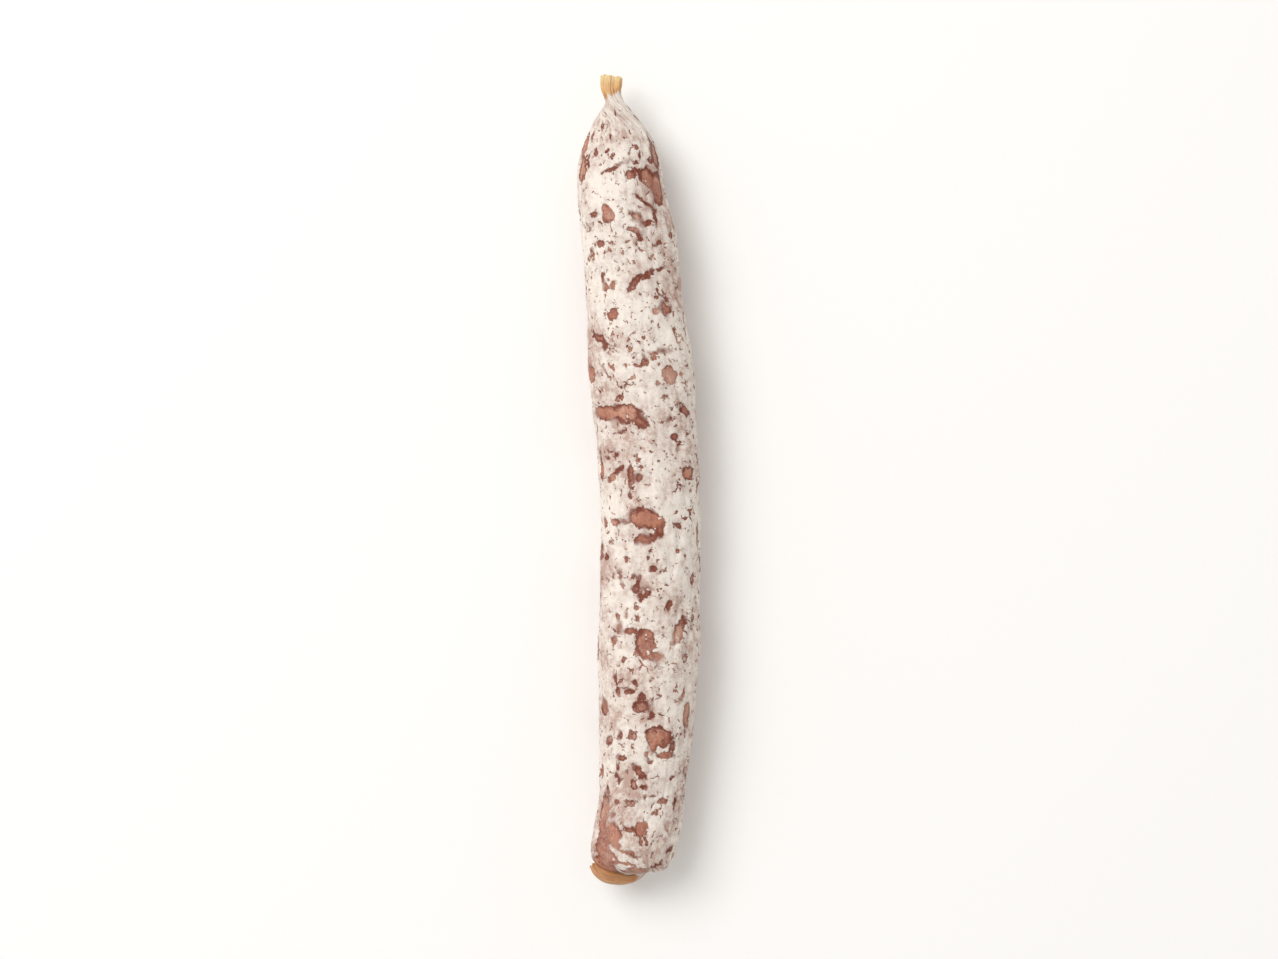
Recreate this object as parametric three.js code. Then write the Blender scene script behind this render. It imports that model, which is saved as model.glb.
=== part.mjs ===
// A small air-dried salami stick: one collagen casing, filled, twisted shut at both ends and
// coated with white mould. It lies on its side, as it does on a board, with its length along X.
// Its line bows gently sideways (towards -Y), one end runs out in a point, and the other is
// blunt with its tail of casing folded across it. Casing and filling have dried into one
// piece, so the whole sausage is one solid.
//
// Millimetres, +Z up. The origin is on the surface, below the middle of the sausage.
import * as THREE from "three";

// Height of the centre line above the surface. Where the sausage is thicker than this it
// settled under its own weight as it dried, which left a narrow flat for it to rest on.
const AXIS_HEIGHT = 6.65;

// The sausage from the blunt end to the pointed one, lofted through sections like a hull:
// [x, y, half width, half height] at each station.
const STATIONS = [
  // the tail at the blunt end, from its tip to the twist that it is folded over at
  [-54.75, 6.65, 0.0, 0.0],
  [-54.95, 6.45, 0.7, 1.3],
  [-55.7, 5.75, 1.05, 1.75],
  [-56.3, 4.65, 1.25, 2.0],
  [-56.6, 3.4, 1.2, 1.85],
  [-56.75, 2.2, 1.05, 1.5],
  [-56.75, 1.15, 0.8, 1.1],
  [-56.5, 0.5, 0.75, 0.85],
  // the blunt end
  [-56.15, 0.35, 1.6, 1.6],
  [-55.8, 0.5, 3.5, 3.4],
  [-55.1, 0.75, 4.95, 4.8],
  [-53.6, 0.85, 5.75, 5.6],
  [-50.05, 0.3, 6.0, 5.95],
  // the body, which swells and narrows a little, as the filling packed unevenly
  [-44.05, -0.45, 6.0, 6.05],
  [-35.55, -1.1, 6.65, 6.7],
  [-24.55, -1.5, 7.15, 7.1],
  [-12.55, -1.65, 6.95, 6.95],
  [-1.55, -1.35, 7.0, 7.0],
  [8.95, -0.75, 7.15, 7.1],
  [15.45, -0.15, 7.4, 7.2],
  [21.95, 0.35, 7.0, 6.95],
  [28.45, 0.95, 6.6, 6.7],
  [35.45, 1.7, 6.6, 6.6],
  // the pointed end
  [40.95, 2.45, 6.2, 6.2],
  [44.95, 2.8, 5.8, 5.8],
  [47.95, 2.85, 5.05, 5.0],
  [50.45, 3.05, 3.75, 3.7],
  [52.45, 3.35, 2.45, 2.4],
  // its tail: the twist, then the flared end of the casing
  [54.0, 3.55, 1.35, 1.3],
  [55.0, 3.85, 1.15, 1.05],
  [56.1, 4.05, 1.35, 1.0],
  [57.1, 4.0, 1.45, 0.9],
  [57.75, 3.9, 1.5, 0.85],
  [57.9, 3.85, 0.0, 0.0],
];

// A ring of the body is wider than the line's small bends, so it faces straight along X.
// A ring of a tail follows the line. Between these half widths it turns from one to the other.
const NARROW = 1.3;
const WIDE = 2.6;

const ALONG = 2 * (STATIONS.length - 1); // rows of faces from end to end
const AROUND = 48; // faces in a row, a multiple of 4 so that one edge runs along the underside

// One smooth line through the stations in plan, and one through their sections.
const route = new THREE.SplineCurve(STATIONS.map(([x, y]) => new THREE.Vector2(x, y)));
const section = new THREE.SplineCurve(
  STATIONS.map(([, , width, height]) => new THREE.Vector2(width, height)),
);

// The point of the surface at a share of the way along, and at an angle round the section
// from the side that faces -Y over the top.
function surfacePoint(along, angle) {
  const middle = route.getPoint(along);
  const half = section.getPoint(along);
  const straight = THREE.MathUtils.smoothstep(half.x, NARROW, WIDE);
  const forward = route.getTangent(along).lerp(new THREE.Vector2(1, 0), straight).normalize();
  const sideways = Math.max(half.x, 0) * Math.cos(angle);
  const up = Math.max(half.y, 0) * Math.sin(angle);
  return new THREE.Vector3(
    middle.x + forward.y * sideways,
    middle.y - forward.x * sideways,
    Math.max(AXIS_HEIGHT + up, 0), // the underside is flat where it meets the surface
  );
}

// A sphere has its faces in rows from pole to pole, so each row is laid round the sausage.
function sausageGeometry() {
  const geometry = new THREE.SphereGeometry(1, AROUND, ALONG);
  const { position, uv } = geometry.attributes;
  for (let i = 0; i < position.count; i++) {
    const row = Math.floor(i / (AROUND + 1));
    const angle = 2 * Math.PI * uv.getX(i);
    const { x, y, z } = surfacePoint(row / ALONG, angle);
    position.setXYZ(i, x, y, z);
  }
  geometry.computeVertexNormals();
  return geometry;
}

// Puts the origin on the surface, under the middle of the box that the sausage fills.
function centreOnSurface(geometry) {
  geometry.computeBoundingBox();
  const { min, max } = geometry.boundingBox;
  return geometry.translate(-(min.x + max.x) / 2, -(min.y + max.y) / 2, -min.z);
}

const mouldedCasing = new THREE.MeshStandardMaterial({
  name: "mould_coated_casing",
  color: 0xd3c0b4,
  roughness: 0.85,
  metalness: 0,
});

const sausage = new THREE.Mesh(centreOnSurface(sausageGeometry()), mouldedCasing);
sausage.name = "sausage";

const salamiStick = new THREE.Group();
salamiStick.add(sausage);
export default salamiStick;
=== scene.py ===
# %% [markdown]
# # A mould-coated salami stick
#
# A thin, air-dried salami: one collagen casing, filled, twisted shut at both ends and hung up
# until it is firm. While it dries, its skin wrinkles and a coat of white mould grows over it.
# It could be sculpted by hand, but then nothing in it could be changed by a number. So this
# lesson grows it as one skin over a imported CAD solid, which says where it lies and how large
# it is. Blender works in metres, and the sausage's own sizes are given in millimetres.

# %% Load the frame
import math

import bpy
import numpy as np
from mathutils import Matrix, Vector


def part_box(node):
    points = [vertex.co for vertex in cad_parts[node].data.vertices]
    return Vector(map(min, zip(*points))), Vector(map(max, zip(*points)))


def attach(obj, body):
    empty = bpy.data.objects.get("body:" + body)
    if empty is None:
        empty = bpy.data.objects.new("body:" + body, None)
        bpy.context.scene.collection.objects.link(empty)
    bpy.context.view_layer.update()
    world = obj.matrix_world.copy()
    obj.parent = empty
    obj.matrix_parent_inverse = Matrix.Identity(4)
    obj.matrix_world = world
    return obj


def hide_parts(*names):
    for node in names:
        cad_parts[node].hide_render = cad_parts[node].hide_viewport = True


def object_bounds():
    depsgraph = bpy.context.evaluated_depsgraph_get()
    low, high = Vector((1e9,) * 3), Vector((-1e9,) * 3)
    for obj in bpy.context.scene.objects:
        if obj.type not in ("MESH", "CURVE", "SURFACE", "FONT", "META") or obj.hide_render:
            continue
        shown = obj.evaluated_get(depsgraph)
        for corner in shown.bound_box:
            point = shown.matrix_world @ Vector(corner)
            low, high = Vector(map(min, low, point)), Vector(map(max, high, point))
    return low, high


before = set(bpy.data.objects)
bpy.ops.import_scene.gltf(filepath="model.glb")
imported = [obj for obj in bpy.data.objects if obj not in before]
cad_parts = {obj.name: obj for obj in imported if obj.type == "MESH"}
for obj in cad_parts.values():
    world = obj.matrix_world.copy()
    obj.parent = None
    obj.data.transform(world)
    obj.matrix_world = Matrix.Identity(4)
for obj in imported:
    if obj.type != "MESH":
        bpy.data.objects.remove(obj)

MM = 0.001
cad_low, cad_high = [list(corner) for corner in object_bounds()]
print("the CAD solid measures", [round((b - a) / MM, 1) for a, b in zip(cad_low, cad_high)], "mm")

# %% [markdown]
# ## One way to add a node
#
# Two kinds of node tree do the work below. Geometry Nodes shape the skin, and shader nodes
# colour it. A tree could be wired by hand in the editor, but a script can be read and run
# again. Both kinds take nodes in the same way, so one small function serves both: it adds a
# node, sets its options, and feeds each input with a value or with another node's output.
# Most nodes here do sums, so an option that is only one word names the sum.

# %% A helper for nodes
def add(tree, kind, options=None, **inputs):
    """Adds a node. An input goes by its name, with _ for a space, or by its place, as i0 or i1."""
    made = tree.nodes.new(kind)
    if isinstance(options, str):
        options = {"operation": options}
    for name, value in (options or {}).items():
        setattr(made, name, value)
    sockets = [socket for socket in made.inputs if socket.enabled]
    places = {socket.name.replace(" ", "_"): socket for socket in reversed(sockets)}
    places.update({f"i{place}": socket for place, socket in enumerate(sockets)})
    for name, value in inputs.items():
        if isinstance(value, bpy.types.Node):
            value = next(socket for socket in value.outputs if socket.enabled)
        if isinstance(value, bpy.types.NodeSocket):
            tree.links.new(value, places[name])
        else:
            places[name].default_value = value
    return made


MATH, VECTOR_MATH, NOISE = "ShaderNodeMath", "ShaderNodeVectorMath", "ShaderNodeTexNoise"
SMOOTHLY = {"interpolation_type": "SMOOTHSTEP"}  # how a Map Range goes from one value to the next
print("the nodes used most are", MATH, VECTOR_MATH, "and", NOISE)

# %% [markdown]
# ## The line of the sausage
#
# Soft filling is pumped into the casing, and the casing is twisted off. The result is a line
# with a section that swells and narrows, like a boat's hull. A bevelled curve has only one
# radius at each point, so a table of oval sections was chosen instead. These are the CAD
# solid's own stations, without the points that close its tips, as the tails are open here:
# [x, y, half width, half height], from the blunt end to the pointed one.

# %% Stations along the sausage
STATIONS = np.array([
    # the tail at the blunt end, folded across it, from its open end to the twist
    [-54.95, 6.45, 0.7, 1.3],
    [-55.7, 5.75, 1.05, 1.75],
    [-56.3, 4.65, 1.25, 2.0],
    [-56.6, 3.4, 1.2, 1.85],
    [-56.75, 2.2, 1.05, 1.5],
    [-56.75, 1.15, 0.8, 1.1],
    [-56.5, 0.5, 0.75, 0.85],
    # the blunt end
    [-56.15, 0.35, 1.6, 1.6],
    [-55.8, 0.5, 3.5, 3.4],
    [-55.1, 0.75, 4.95, 4.8],
    [-53.6, 0.85, 5.75, 5.6],
    [-50.05, 0.3, 6.0, 5.95],
    # the body, which swells and narrows a little, as the filling packed unevenly
    [-44.05, -0.45, 6.0, 6.05],
    [-35.55, -1.1, 6.65, 6.7],
    [-24.55, -1.5, 7.15, 7.1],
    [-12.55, -1.65, 6.95, 6.95],
    [-1.55, -1.35, 7.0, 7.0],
    [8.95, -0.75, 7.15, 7.1],
    [15.45, -0.15, 7.4, 7.2],
    [21.95, 0.35, 7.0, 6.95],
    [28.45, 0.95, 6.6, 6.7],
    [35.45, 1.7, 6.6, 6.6],
    # the pointed end
    [40.95, 2.45, 6.2, 6.2],
    [44.95, 2.8, 5.8, 5.8],
    [47.95, 2.85, 5.05, 5.0],
    [50.45, 3.05, 3.75, 3.7],
    [52.45, 3.35, 2.45, 2.4],
    # its tail, from the twist to the flared, open end
    [54.0, 3.55, 1.35, 1.3],
    [55.0, 3.85, 1.15, 1.05],
    [56.1, 4.05, 1.35, 1.0],
    [57.1, 4.0, 1.45, 0.9],
    [57.75, 3.9, 1.5, 0.85],
])
BLUNT_TWIST = 6.3  # where the casing is twisted tight, counted in stations
POINTED_TWIST = 28.2
AXIS_HEIGHT = 6.65  # of the centre line above the surface
BODY_RADIUS = 7.0  # a usual one, on which sizes round the casing are measured
print(len(STATIONS), "stations")

# %% [markdown]
# A Catmull-Rom spline passes through its points without a corner, so it carries the line and
# the section together. It is sampled finely here, and rings are chosen along it afterwards.

# %% A smooth line through the stations
def spline(points, place):
    """Values on a uniform Catmull-Rom spline, at places counted in points."""
    first = np.clip(place.astype(int), 0, len(points) - 2)
    share = (place - first)[:, None]
    p0, p1 = points[np.maximum(first - 1, 0)], points[first]
    p2, p3 = points[first + 1], points[np.minimum(first + 2, len(points) - 1)]
    leave, arrive = (p2 - p0) / 2, (p3 - p1) / 2
    bend = 3 * (p2 - p1) - 2 * leave - arrive
    return (leave + arrive - 2 * (p2 - p1)) * share**3 + bend * share**2 + leave * share + p1


LINE_SAMPLES = 12000
places = np.linspace(0, len(STATIONS) - 1, LINE_SAMPLES)
line = spline(STATIONS, places)
print("the line runs from x =", line[0, 0], "to", round(line[-1, 0], 1), "mm")

# %% [markdown]
# Each ring is square to the line. In a tail that is the line's own direction, with its folds.
# A ring of the body is much wider, and would cross its neighbours if it followed every small
# bend, so it faces straight along X instead. Between two half widths it turns from one to the
# other.

# %% The way each ring faces
NARROW, WIDE = 1.3, 2.6  # half widths


def ease(share):
    """A share from 0 to 1, made to start and stop gently."""
    return share * share * (3 - 2 * share)


along_line = np.gradient(line[:, :2], axis=0)
along_line /= np.linalg.norm(along_line, axis=1)[:, None]
straight = ease(np.clip((line[:, 2] - NARROW) / (WIDE - NARROW), 0, 1)[:, None])
ahead = along_line * (1 - straight) + np.array([1, 0]) * straight
ahead /= np.linalg.norm(ahead, axis=1)[:, None]
print(int((straight == 1).sum()), "of", len(line), "samples face straight along X")

# %% [markdown]
# The tails are the ends of a thin tube, gathered and dried hard, so each is open. A hole
# could be cut in each, but here the skin simply goes on: it turns in over the lip, runs back
# inside and closes at the bottom of the mouth, so it stays one closed surface.

# %% Open mouths on the tails
MOUTH = [(0.0, 0.0), (-0.06, 0.08), (0.0, 0.2), (0.4, 0.3), (1.3, 0.36)]  # depth and wall


def mouth(lip, inwards):
    """Rows of the skin from the lip of a tail to the bottom of its mouth."""
    x, y, half_width, half_height, *heading = lip
    rows = [
        [x + heading[0] * inwards * depth, y + heading[1] * inwards * depth,
         half_width - wall, half_height - wall, *heading]
        for depth, wall in MOUTH
    ]
    return np.array([*rows, [*rows[-1][:2], 0.0, 0.0, *heading]])


skin = np.column_stack([line, ahead])
blunt_mouth, pointed_mouth = mouth(skin[0], 1), mouth(skin[-1], -1)
skin = np.concatenate([blunt_mouth[::-1], skin, pointed_mouth])
steps = np.linalg.norm(np.diff(skin[:, :3], axis=0), axis=1)
length = np.concatenate([[0], np.cumsum(steps)])
twists = np.interp([BLUNT_TWIST, POINTED_TWIST], places, length[len(blunt_mouth):-len(pointed_mouth)])
print("the skin runs", round(length[-1], 1), "mm, and is twisted tight at", twists.round(1), "mm")

# %% [markdown]
# Rings at equal steps along the line would leave the blunt end and the tails coarse. So the
# steps are measured along the skin, where a change of girth counts too, and they are shorter
# where the casing is gathered.

# %% Choose the rings
RINGS = 512
END_DENSITY = 2.6  # how many times closer the rings are at the twists than in the body
DENSE_REACH = 10.0  # millimetres into the body over which they spread out


def near_end(along, reach):
    """1 at the twists and in the tails, easing to 0 at a reach in millimetres into the body."""
    return ease(np.clip(1 - np.minimum(along - twists[0], twists[1] - along) / reach, 0, 1))


density = 1 + (END_DENSITY - 1) * near_end(length, DENSE_REACH)
budget = np.concatenate([[0], np.cumsum(steps * density[1:])])
picks = np.linspace(0, budget[-1], RINGS)
x, y, half_width, half_height, ahead_x, ahead_y, along = [
    np.interp(picks, budget, column) for column in [*skin.T, length]
]
print("rings are", round(float(np.diff(along).max()), 2), "mm apart at most")

# %% [markdown]
# Geometry Nodes can read a line from a mesh that has a point for each ring, with the ring's
# numbers stored on the points as named attributes. The twist turns the casing a little
# further round in each ring as it is gathered, so that its pleats spiral.

# %% Rings as a mesh of points
GATHER_REACH = 8.0  # millimetres into the body over which the casing is gathered
TAIL_REACH = 2.2  # millimetres into the body over which a tail's folds die out
FRAY_REACH = 2.2  # millimetres from a tail's lip over which it frays
PALE_REACH = 3.9  # millimetres from the pointed tail's lip over which it pales
PALE_FOLD = 0.22  # how far the tail at the blunt end pales, as it is folded double
FAR_PAST = 3.0  # millimetres from a twist beyond which it no longer matters how far
TWIST_TURN = 1.1  # radians, from the body to the tightest place
STREAK = 0.6  # how much slower the pattern runs along gathered casing, which draws it out
lips = length[[len(blunt_mouth), -len(pointed_mouth)]]
gather = near_end(along, GATHER_REACH)
from_middle = np.cumsum(np.diff(along, prepend=0) * (1 - STREAK * gather))
from_middle -= from_middle[np.argmin(np.abs(x))]
past_twist = np.maximum(twists[0] - along, along - twists[1])
from_lip = np.abs(along[:, None] - lips).min(axis=1)
ring_numbers = {
    "half_width": np.maximum(half_width, 0),
    "half_height": np.maximum(half_height, 0),
    "along": from_middle,
    "gather": gather,
    "twist": TWIST_TURN * gather**2 * np.sign(from_middle),
    "tail": near_end(along, TAIL_REACH),
    "past_twist": np.clip(past_twist, -FAR_PAST, FAR_PAST),
    # a ring with no width is one point, and fraying would pull it apart
    "lip": np.clip(1 - from_lip / FRAY_REACH, 0, 1) * (half_width > 0),
    "pale": np.where(from_middle > 0, np.clip(1 - (lips[1] - along) / PALE_REACH, 0, 1), PALE_FOLD),
}
rings = bpy.data.meshes.new("rings")
rings.from_pydata(np.column_stack([x, y, np.full(RINGS, AXIS_HEIGHT)]).tolist(), [], [])
for name, values in ring_numbers.items():
    rings.attributes.new(name, "FLOAT", "POINT").data.foreach_set("value", values.astype(np.float32))
sideways = np.column_stack([-ahead_y, ahead_x, np.zeros(RINGS)]).astype(np.float32)
rings.attributes.new("sideways", "FLOAT_VECTOR", "POINT").data.foreach_set("vector", sideways.ravel())
print(RINGS, "rings carry", [*ring_numbers, "sideways"])

# %% [markdown]
# ## Where the mould has flaked off
#
# Handling rubs flakes of mould off, and the marks it leaves are what the eye knows a sausage
# by. A painted mask could hold them, but a list of ovals is short and each one can be moved.
# So the upper side's marks are listed one by one, each as an oval seen from straight above:
# x and y of its middle, half its size along and round the sausage, all in millimetres, and a
# turn in degrees. A mark with an odd shape is a few ovals that overlap.

# %% Marks on the upper side
MARKS = [
    # the pointed end
    [52.2, 3.4, 0.5, 0.25, 0], [52.0, 0.7, 1.2, 0.5, 20], [50.2, 5.2, 0.9, 0.25, -30],
    [48.5, 4.0, 0.7, 0.28, 0], [46.4, 6.1, 0.6, 0.4, 0], [46.5, 4.5, 0.35, 0.5, 0],
    [47.2, 0.6, 0.4, 0.65, 10], [46.0, 0.0, 0.8, 0.22, -15], [45.0, 0.5, 0.3, 0.6, 0],
    [47.3, 7.8, 1.9, 1.0, 0], [44.2, 8.0, 1.8, 1.2, 0], [44.1, 3.6, 0.32, 1.9, -22],
    [45.2, 7.2, 0.9, 0.35, 0], [48.9, 6.7, 0.9, 0.4, -20], [51.4, 0.2, 0.8, 0.3, 25],
    [43.0, 1.1, 0.75, 0.9, 10], [43.7, 0.2, 0.35, 1.3, 15],
    # the long bare place on its right, and the hook below it. The oval at x 46.4 is partly painted
    # shade: it spreads the bare casing's dark over mould that is only in shade
    [42.7, -1.2, 1.5, 1.9, 30], [41.4, -2.5, 2.6, 1.4, 10], [46.4, -2.1, 2.4, 1.3, 0],
    [48.6, -1.3, 0.7, 0.5, 0], [45.3, -1.4, 0.5, 0.8, -20],
    [39.1, -0.9, 0.35, 1.8, 35], [37.3, -2.2, 1.3, 0.3, 0], [33.5, -2.6, 0.35, 0.8, -25],
    [34.8, -4.1, 0.5, 0.55, 0],
    # the patches below the shoulder
    [37.4, 4.4, 1.35, 1.0, 10], [37.6, 6.2, 0.4, 0.7, 0], [37.2, 0.6, 0.7, 1.1, 20],
    [36.3, -0.9, 0.45, 1.1, -20], [35.2, 0.8, 0.45, 1.2, 15], [34.3, -0.1, 0.6, 0.4, 0],
    [33.3, 5.6, 0.4, 0.9, -10], [32.0, 6.5, 0.8, 0.4, 0],
    # the leaf-shaped stroke, and the dabs beside it
    [27.7, 0.8, 0.6, 1.6, -50], [28.9, -1.0, 0.42, 1.7, -28], [29.9, -3.0, 0.3, 0.9, -20],
    [28.6, 5.1, 0.9, 0.35, 10], [27.2, 4.6, 0.45, 0.7, 0], [27.5, 3.7, 0.75, 0.4, 0],
    [26.6, -2.5, 0.45, 0.35, 0], [24.2, -3.6, 1.0, 1.1, 0], [23.8, -2.3, 0.4, 0.5, 0],
    [23.4, 3.7, 0.8, 0.9, 0], [20.2, 5.9, 0.65, 2.2, 25], [18.9, 4.8, 0.5, 0.7, 0],
    [20.6, -5.0, 1.0, 0.25, -20], [18.1, -2.9, 0.3, 1.3, -10], [16.7, -0.7, 0.7, 0.5, 0],
    [16.1, 0.4, 0.22, 0.9, 15], [17.1, -2.0, 0.35, 0.45, 0], [19.6, 0.3, 0.2, 0.5, 20],
    [14.8, -4.2, 1.3, 1.3, 0], [13.6, -2.6, 0.35, 0.5, 0], [15.2, 7.0, 1.3, 1.6, 0],
    [15.3, 4.8, 0.14, 0.95, 50], [11.7, -3.7, 0.28, 0.5, 0],
    # the long patch that reaches the left side
    [9.5, 4.8, 1.1, 3.2, 3], [9.4, 2.0, 1.45, 2.3, 8], [8.2, -0.1, 0.8, 1.7, 30],
    [6.8, 2.6, 0.4, 0.5, 0], [7.2, 6.0, 1.1, 0.4, 0], [9.8, -6.4, 0.6, 1.4, 20],
    [8.5, -4.4, 0.28, 0.9, -30], [6.1, -5.0, 0.6, 0.65, 0], [5.0, -5.7, 0.65, 0.3, 25],
    [3.4, 5.4, 0.7, 0.3, 0], [3.1, 4.4, 0.28, 0.9, 0], [3.7, 3.3, 0.3, 0.6, -30],
    # the upright patch, and the slanting crack on its left
    [0.4, 1.2, 1.9, 0.55, 0], [1.7, 0.5, 0.35, 1.0, 0], [0.2, 0.2, 0.65, 0.6, 0],
    [-2.2, 1.4, 0.4, 0.35, 0], [1.4, 5.2, 1.6, 0.6, 8], [0.7, 3.6, 0.4, 1.8, -35],
    [1.0, -6.8, 1.0, 1.2, 0], [-2.7, 5.8, 1.2, 0.45, -15], [21.8, -6.3, 1.4, 0.5, -10],
    [-1.2, -8.2, 1.0, 0.5, 15],
    # the patch with an island of mould in it
    [-5.5, -1.0, 1.5, 2.6, 12], [-8.2, -0.9, 0.7, 1.9, -8], [-7.0, -2.9, 1.3, 0.7, 0],
    [-5.8, 4.9, 0.9, 0.7, 0], [-6.0, 3.4, 0.45, 1.0, 0], [-5.9, 2.0, 0.3, 0.8, 0],
    [-6.4, -5.6, 0.4, 0.8, 10], [-9.9, -5.6, 0.3, 0.45, 20], [-10.9, -6.5, 0.3, 0.4, 0],
    [-15.9, 5.3, 1.4, 0.45, 12], [-7.4, -8.2, 1.9, 0.5, -8], [-14.0, -7.8, 1.1, 0.6, 20],
    [-10.8, -1.2, 0.38, 0.25, 0], [-11.3, -2.5, 0.5, 0.25, 20], [-12.6, -2.0, 0.4, 0.45, 0],
    [-12.9, -3.1, 0.3, 0.25, 0], [-10.2, 5.2, 1.2, 0.8, 20], [-12.6, 5.4, 1.0, 0.4, -10],
    # the dark specks in the middle
    [-13.6, 3.6, 0.4, 0.35, 0], [-13.5, 2.7, 0.6, 0.35, 0], [-14.9, 2.3, 0.5, 0.35, 0],
    [-15.3, 0.6, 0.55, 0.75, 0], [-15.9, -1.0, 0.9, 0.55, 20], [-14.0, 0.1, 0.9, 0.25, 0],
    [-16.6, 0.0, 0.8, 0.35, 0], [-17.9, 0.5, 0.3, 0.3, 0], [-13.6, 1.0, 0.4, 0.25, 0],
    [-17.7, -4.2, 0.8, 0.5, 15], [-19.2, 3.1, 0.5, 0.4, -20], [-18.8, 1.8, 0.45, 0.3, 0],
    [-19.4, 0.4, 0.45, 0.3, 0], [-20.8, 2.9, 0.6, 0.35, 0], [-22.7, 3.7, 0.45, 0.6, 0],
    # the patch shaped like a T, and the slanting one on its right
    [-21.4, 0.5, 0.45, 2.7, 0], [-23.0, -0.7, 2.1, 1.4, 0], [-21.9, -1.1, 0.8, 1.2, 0],
    [-24.8, -2.3, 0.7, 1.3, 15], [-21.3, -5.8, 2.3, 0.8, 25], [-20.6, 5.5, 1.4, 0.5, -12],
    [-23.6, 5.6, 1.8, 0.7, 10], [-25.4, 2.3, 0.5, 0.4, 0],
    # the row of dabs, and the patches below it
    [-27.6, 3.4, 0.35, 0.35, 0], [-28.6, 0.6, 0.4, 0.3, 0], [-29.8, 3.1, 0.5, 0.5, 0],
    [-29.7, 1.3, 0.42, 0.9, 0], [-30.4, -0.4, 0.5, 0.4, 0], [-31.9, -0.3, 0.9, 1.5, -10],
    [-33.0, -1.7, 0.8, 0.5, -20], [-32.3, 5.0, 1.2, 1.2, 0], [-30.3, -6.3, 1.2, 0.4, 25],
    [-33.5, -6.8, 1.8, 0.8, 0], [-36.0, 2.7, 0.7, 0.4, 0], [-35.9, 0.9, 0.7, 0.6, 0],
    [-36.2, -2.8, 1.4, 2.3, 10], [-37.6, -1.9, 1.0, 0.65, 0], [-38.8, -3.9, 0.5, 1.5, 0],
    [-37.7, -4.9, 0.8, 0.6, 0], [-36.9, 4.2, 0.7, 0.8, 0],
    [-39.4, 2.4, 0.4, 0.9, 0], [-40.5, 3.1, 0.6, 0.3, 0], [-41.1, 0.1, 0.42, 1.6, 45],
    [-42.9, 0.8, 0.7, 0.6, 0], [-41.5, 5.2, 1.0, 0.8, 0], [-45.4, 3.0, 0.4, 0.6, 0],
    [-45.5, 1.0, 0.45, 1.0, 0], [-45.4, -3.3, 0.5, 0.9, 0], [-45.8, -5.0, 0.9, 0.4, 20],
    [-47.3, 3.6, 0.5, 0.45, 0], [-42.5, 2.8, 0.5, 0.4, 0], [-43.4, -0.6, 0.4, 0.5, 0],
    [-44.0, 4.4, 0.6, 0.35, 0], [-47.0, -2.2, 0.35, 0.8, -20], [-42.3, -4.6, 0.5, 0.4, 0],
    [-39.6, -1.6, 0.35, 0.6, 0],
    # the bare sweep round the blunt end
    [-47.5, 5.0, 3.0, 1.4, 0], [-50.0, 4.0, 1.5, 2.0, 20], [-49.3, 1.4, 0.4, 1.3, 0],
    [-49.2, -0.3, 1.2, 1.2, 0], [-51.6, 5.2, 2.2, 1.8, 0], [-53.3, 4.6, 0.9, 2.6, 10],
    [-54.9, 5.0, 1.6, 3.2, 0], [-51.6, 3.2, 0.5, 1.0, 30], [-50.8, -1.0, 0.9, 0.35, 0],
    [-52.8, 1.4, 0.3, 1.6, 15], [-50.9, -0.2, 0.8, 0.3, -20], [-54.2, 1.6, 0.25, 1.8, 8],
    [-52.6, -4.2, 0.4, 1.0, -25], [-54.5, -2.4, 0.25, 1.3, -15], [-55.5, 0.5, 0.8, 3.0, 0],
]
marks = np.array(MARKS)
body = half_width > WIDE
line_y, girth, mark_along = [
    np.interp(marks[:, 0], x[body], values[body]) for values in (y, half_width, from_middle)
]
mark_round = BODY_RADIUS * np.arcsin(np.clip((marks[:, 1] - line_y) / girth, -1, 1))
flakes = bpy.data.meshes.new("flakes")
flakes.from_pydata(np.column_stack([mark_along, mark_round, np.zeros(len(marks))]).tolist(), [], [])
for column, name in enumerate(["half_along", "half_round", "turn"], start=2):
    flakes.attributes.new(name, "FLOAT", "POINT").data.foreach_set("value", marks[:, column])
flakes_object = bpy.data.objects.new("flakes", flakes)
print(len(MARKS), "marks reach", mark_round.min().round(1), "to", mark_round.max().round(1), "mm round")

# %% [markdown]
# ## One pattern for shape and colour
#
# Where the mould lies, the skin is both thicker and paler, so the skin's tree and the shader's
# tree need the same pattern. Two patterns that only look alike would slip past each other, so
# the same functions add the nodes to either tree. They work in the casing's own coordinates, in
# millimetres: along, and round on the body's radius. The same casing is gathered at the ends,
# so there the pattern is squeezed into streaks, as it is on the real one.
#
# Four things bare the casing: the listed marks, dabs of a millimetre or two where the
# mould never closed, pits, and cracks that opened as the sausage shrank. Each is read as a
# distance inside its edge, and the deepest one decides. The coordinates are pushed about by a
# coarse and a fine noise first, which makes every edge ragged. The upper side has its marks
# already, so it gets fewer dabs and cracks than the rest. A noise's scale is 1 over the size
# of its blotches, so the sizes come first.

# %% Sizes in the pattern of the mould
DRIFT_SIZE, DRIFT_PUSH = 2.22, 2.4  # the coarse noise that pushes the edges about, and how far
RAGGED_SIZE, RAGGED_PUSH = 0.625, 0.7  # the fine one
REGION_SIZE = 10.0  # stretches that are barer than others
FLECK_SIZE = 1.0  # flecks of mould that held on inside the marks
FLECK_LEVEL, FLECK_SLOPE = 6.95, -10.0  # how few of them there are, and how crisp
MARK_FRAY = 0.6  # how far the fine noise frays the edge of a mark
DAB_SIZE, PIT_SIZE, CELL_SIZE = 2.38, 0.8, 2.78  # the cracks run round cells
BREAK_SIZE = 3.03  # stretches where a crack is open or shut
CRISP_SIZE = 3.33  # stretches where an edge is crisp or soft
THINNING = (0.1, -0.13)  # depths in a bare place between which the mould thickens
print("sizes in the pattern run from", RAGGED_SIZE, "to", REGION_SIZE, "mm")

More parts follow.
